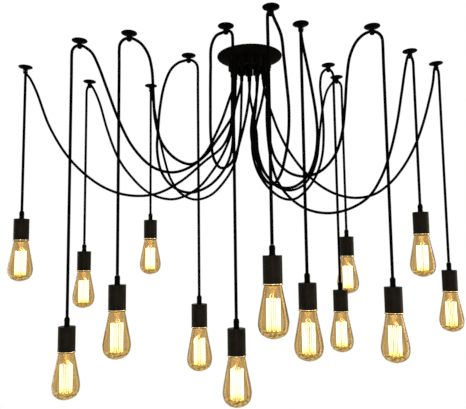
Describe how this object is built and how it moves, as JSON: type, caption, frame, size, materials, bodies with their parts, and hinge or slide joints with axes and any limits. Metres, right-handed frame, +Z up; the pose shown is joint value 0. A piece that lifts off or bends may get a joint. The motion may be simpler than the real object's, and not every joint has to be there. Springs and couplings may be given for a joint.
{
  "type": "spider pendant light",
  "caption": "Spider pendant light: round ceiling canopy, cords that swag out to ceiling hooks, and a bare teardrop filament bulb hanging in a black holder under each hook.",
  "frame": {"origin": "centre of the canopy on the ceiling, on the top face of the mounting bracket", "axes": "+Z up into the ceiling, +X to the right along the long spread of the hooks as pictured, +Y away from the camera"},
  "size_m": [1.2317, 0.6041, 0.8649],
  "materials": {
    "canopy_black": "matt near-black powder coat",
    "hook_black": "matt black",
    "holder_black": "matt black with a faint satin shine",
    "cord_black": "matt black cable sheath",
    "zinc_plate": "zinc-plated steel",
    "block_white": "white moulded plastic",
    "amber_glass": "clear amber glass"
  },
  "bodies": {
    "ceiling_fixture": {"canopy": "canopy_black", "mounting_bracket": "zinc_plate", "cap_nut": "canopy_black", "terminal_block": "block_white", "ceiling_hook_01": "hook_black", "ceiling_hook_02": "hook_black", "ceiling_hook_03": "hook_black", "ceiling_hook_04": "hook_black", "ceiling_hook_05": "hook_black", "ceiling_hook_06": "hook_black", "ceiling_hook_07": "hook_black", "ceiling_hook_08": "hook_black", "ceiling_hook_09": "hook_black", "ceiling_hook_10": "hook_black", "ceiling_hook_11": "hook_black", "ceiling_hook_12": "hook_black", "ceiling_hook_13": "hook_black", "ceiling_hook_14": "hook_black", "cord_01": "cord_black", "cord_02": "cord_black", "cord_03": "cord_black", "cord_04": "cord_black", "cord_05": "cord_black", "cord_06": "cord_black", "cord_07": "cord_black", "cord_08": "cord_black", "cord_09": "cord_black", "cord_10": "cord_black", "cord_11": "cord_black", "cord_12": "cord_black", "cord_13": "cord_black", "cord_14": "cord_black"},
    "lamp_01": {"lamp_holder_01": "holder_black"},
    "lamp_02": {"lamp_holder_02": "holder_black"},
    "lamp_03": {"lamp_holder_03": "holder_black"},
    "lamp_04": {"lamp_holder_04": "holder_black"},
    "lamp_05": {"lamp_holder_05": "holder_black"},
    "lamp_06": {"lamp_holder_06": "holder_black"},
    "lamp_07": {"lamp_holder_07": "holder_black"},
    "lamp_08": {"lamp_holder_08": "holder_black"},
    "lamp_09": {"lamp_holder_09": "holder_black"},
    "lamp_10": {"lamp_holder_10": "holder_black"},
    "lamp_11": {"lamp_holder_11": "holder_black"},
    "lamp_12": {"lamp_holder_12": "holder_black"},
    "lamp_13": {"lamp_holder_13": "holder_black"},
    "lamp_14": {"lamp_holder_14": "holder_black"},
    "lamp_bulb_01": {"bulb_01": "amber_glass"},
    "lamp_bulb_02": {"bulb_02": "amber_glass"},
    "lamp_bulb_03": {"bulb_03": "amber_glass"},
    "lamp_bulb_04": {"bulb_04": "amber_glass"},
    "lamp_bulb_05": {"bulb_05": "amber_glass"},
    "lamp_bulb_06": {"bulb_06": "amber_glass"},
    "lamp_bulb_07": {"bulb_07": "amber_glass"},
    "lamp_bulb_08": {"bulb_08": "amber_glass"},
    "lamp_bulb_09": {"bulb_09": "amber_glass"},
    "lamp_bulb_10": {"bulb_10": "amber_glass"},
    "lamp_bulb_11": {"bulb_11": "amber_glass"},
    "lamp_bulb_12": {"bulb_12": "amber_glass"},
    "lamp_bulb_13": {"bulb_13": "amber_glass"},
    "lamp_bulb_14": {"bulb_14": "amber_glass"}
  },
  "joints": [
    {"name": "swing_01", "type": "hinge", "parent": "ceiling_fixture", "child": "lamp_01", "pos_m": [-0.62268, 0.03676, -0.0304], "axis": [1, 0, 0], "range_deg": [-10, 10], "deforming": ["cord_01"]},
    {"name": "swing_02", "type": "hinge", "parent": "ceiling_fixture", "child": "lamp_02", "pos_m": [-0.44415, -0.119, -0.0313], "axis": [1, 0, 0], "range_deg": [-10, 10], "deforming": ["cord_02"]},
    {"name": "swing_03", "type": "hinge", "parent": "ceiling_fixture", "child": "lamp_03", "pos_m": [-0.49783, 0.19333, -0.0304], "axis": [1, 0, 0], "range_deg": [-10, 10], "deforming": ["cord_03"]},
    {"name": "swing_04", "type": "hinge", "parent": "ceiling_fixture", "child": "lamp_04", "pos_m": [-0.31761, -0.1582, -0.0358], "axis": [1, 0, 0], "range_deg": [-10, 10], "deforming": ["cord_04"]},
    {"name": "swing_05", "type": "hinge", "parent": "ceiling_fixture", "child": "lamp_05", "pos_m": [-0.30773, 0.24447, -0.0304], "axis": [1, 0, 0], "range_deg": [-10, 10], "deforming": ["cord_05"]},
    {"name": "swing_06", "type": "hinge", "parent": "ceiling_fixture", "child": "lamp_06", "pos_m": [-0.1395, -0.0154, -0.0367], "axis": [0.5, 0.866, 0], "range_deg": [-10, 10], "deforming": ["cord_06"]},
    {"name": "swing_07", "type": "hinge", "parent": "ceiling_fixture", "child": "lamp_07", "pos_m": [-0.04584, -0.19994, -0.0304], "axis": [1, 0, 0], "range_deg": [-10, 10], "deforming": ["cord_07"]},
    {"name": "swing_08", "type": "hinge", "parent": "ceiling_fixture", "child": "lamp_08", "pos_m": [0.0288, -0.29559, -0.0304], "axis": [1, 0, 0], "range_deg": [-10, 10], "deforming": ["cord_08"]},
    {"name": "swing_09", "type": "hinge", "parent": "ceiling_fixture", "child": "lamp_09", "pos_m": [0.11027, -0.21373, -0.0304], "axis": [1, 0, 0], "range_deg": [-10, 10], "deforming": ["cord_09"]},
    {"name": "swing_10", "type": "hinge", "parent": "ceiling_fixture", "child": "lamp_10", "pos_m": [0.24207, 0.07758, -0.0304], "axis": [0.866, 0.5, 0], "range_deg": [-10, 10], "deforming": ["cord_10"]},
    {"name": "swing_11", "type": "hinge", "parent": "ceiling_fixture", "child": "lamp_11", "pos_m": [0.28679, 0.17785, -0.0304], "axis": [0.866, 0.5, 0], "range_deg": [-10, 10], "deforming": ["cord_11"]},
    {"name": "swing_12", "type": "hinge", "parent": "ceiling_fixture", "child": "lamp_12", "pos_m": [0.30816, -0.1778, -0.0358], "axis": [1, 0, 0], "range_deg": [-10, 10], "deforming": ["cord_12"]},
    {"name": "swing_13", "type": "hinge", "parent": "ceiling_fixture", "child": "lamp_13", "pos_m": [0.43901, -0.01309, -0.0304], "axis": [1, 0, 0], "range_deg": [-10, 10], "deforming": ["cord_13"]},
    {"name": "swing_14", "type": "hinge", "parent": "ceiling_fixture", "child": "lamp_14", "pos_m": [0.54502, 0.07946, -0.0304], "axis": [1, 0, 0], "range_deg": [-10, 10], "deforming": ["cord_14"]},
    {"name": "bulb_01_out", "type": "slide", "parent": "lamp_01", "child": "lamp_bulb_01", "axis": [0, 0, -1], "range_m": [0, 0.04]},
    {"name": "bulb_02_out", "type": "slide", "parent": "lamp_02", "child": "lamp_bulb_02", "axis": [0, 0, -1], "range_m": [0, 0.04]},
    {"name": "bulb_03_out", "type": "slide", "parent": "lamp_03", "child": "lamp_bulb_03", "axis": [0, 0, -1], "range_m": [0, 0.04]},
    {"name": "bulb_04_out", "type": "slide", "parent": "lamp_04", "child": "lamp_bulb_04", "axis": [0, 0, -1], "range_m": [0, 0.04]},
    {"name": "bulb_05_out", "type": "slide", "parent": "lamp_05", "child": "lamp_bulb_05", "axis": [0, 0, -1], "range_m": [0, 0.04]},
    {"name": "bulb_06_out", "type": "slide", "parent": "lamp_06", "child": "lamp_bulb_06", "axis": [0, 0, -1], "range_m": [0, 0.04]},
    {"name": "bulb_07_out", "type": "slide", "parent": "lamp_07", "child": "lamp_bulb_07", "axis": [0, 0, -1], "range_m": [0, 0.04]},
    {"name": "bulb_08_out", "type": "slide", "parent": "lamp_08", "child": "lamp_bulb_08", "axis": [0, 0, -1], "range_m": [0, 0.04]},
    {"name": "bulb_09_out", "type": "slide", "parent": "lamp_09", "child": "lamp_bulb_09", "axis": [0, 0, -1], "range_m": [0, 0.04]},
    {"name": "bulb_10_out", "type": "slide", "parent": "lamp_10", "child": "lamp_bulb_10", "axis": [0, 0, -1], "range_m": [0, 0.04]},
    {"name": "bulb_11_out", "type": "slide", "parent": "lamp_11", "child": "lamp_bulb_11", "axis": [0, 0, -1], "range_m": [0, 0.04]},
    {"name": "bulb_12_out", "type": "slide", "parent": "lamp_12", "child": "lamp_bulb_12", "axis": [0, 0, -1], "range_m": [0, 0.04]},
    {"name": "bulb_13_out", "type": "slide", "parent": "lamp_13", "child": "lamp_bulb_13", "axis": [0, 0, -1], "range_m": [0, 0.04]},
    {"name": "bulb_14_out", "type": "slide", "parent": "lamp_14", "child": "lamp_bulb_14", "axis": [0, 0, -1], "range_m": [0, 0.04]}
  ]
}
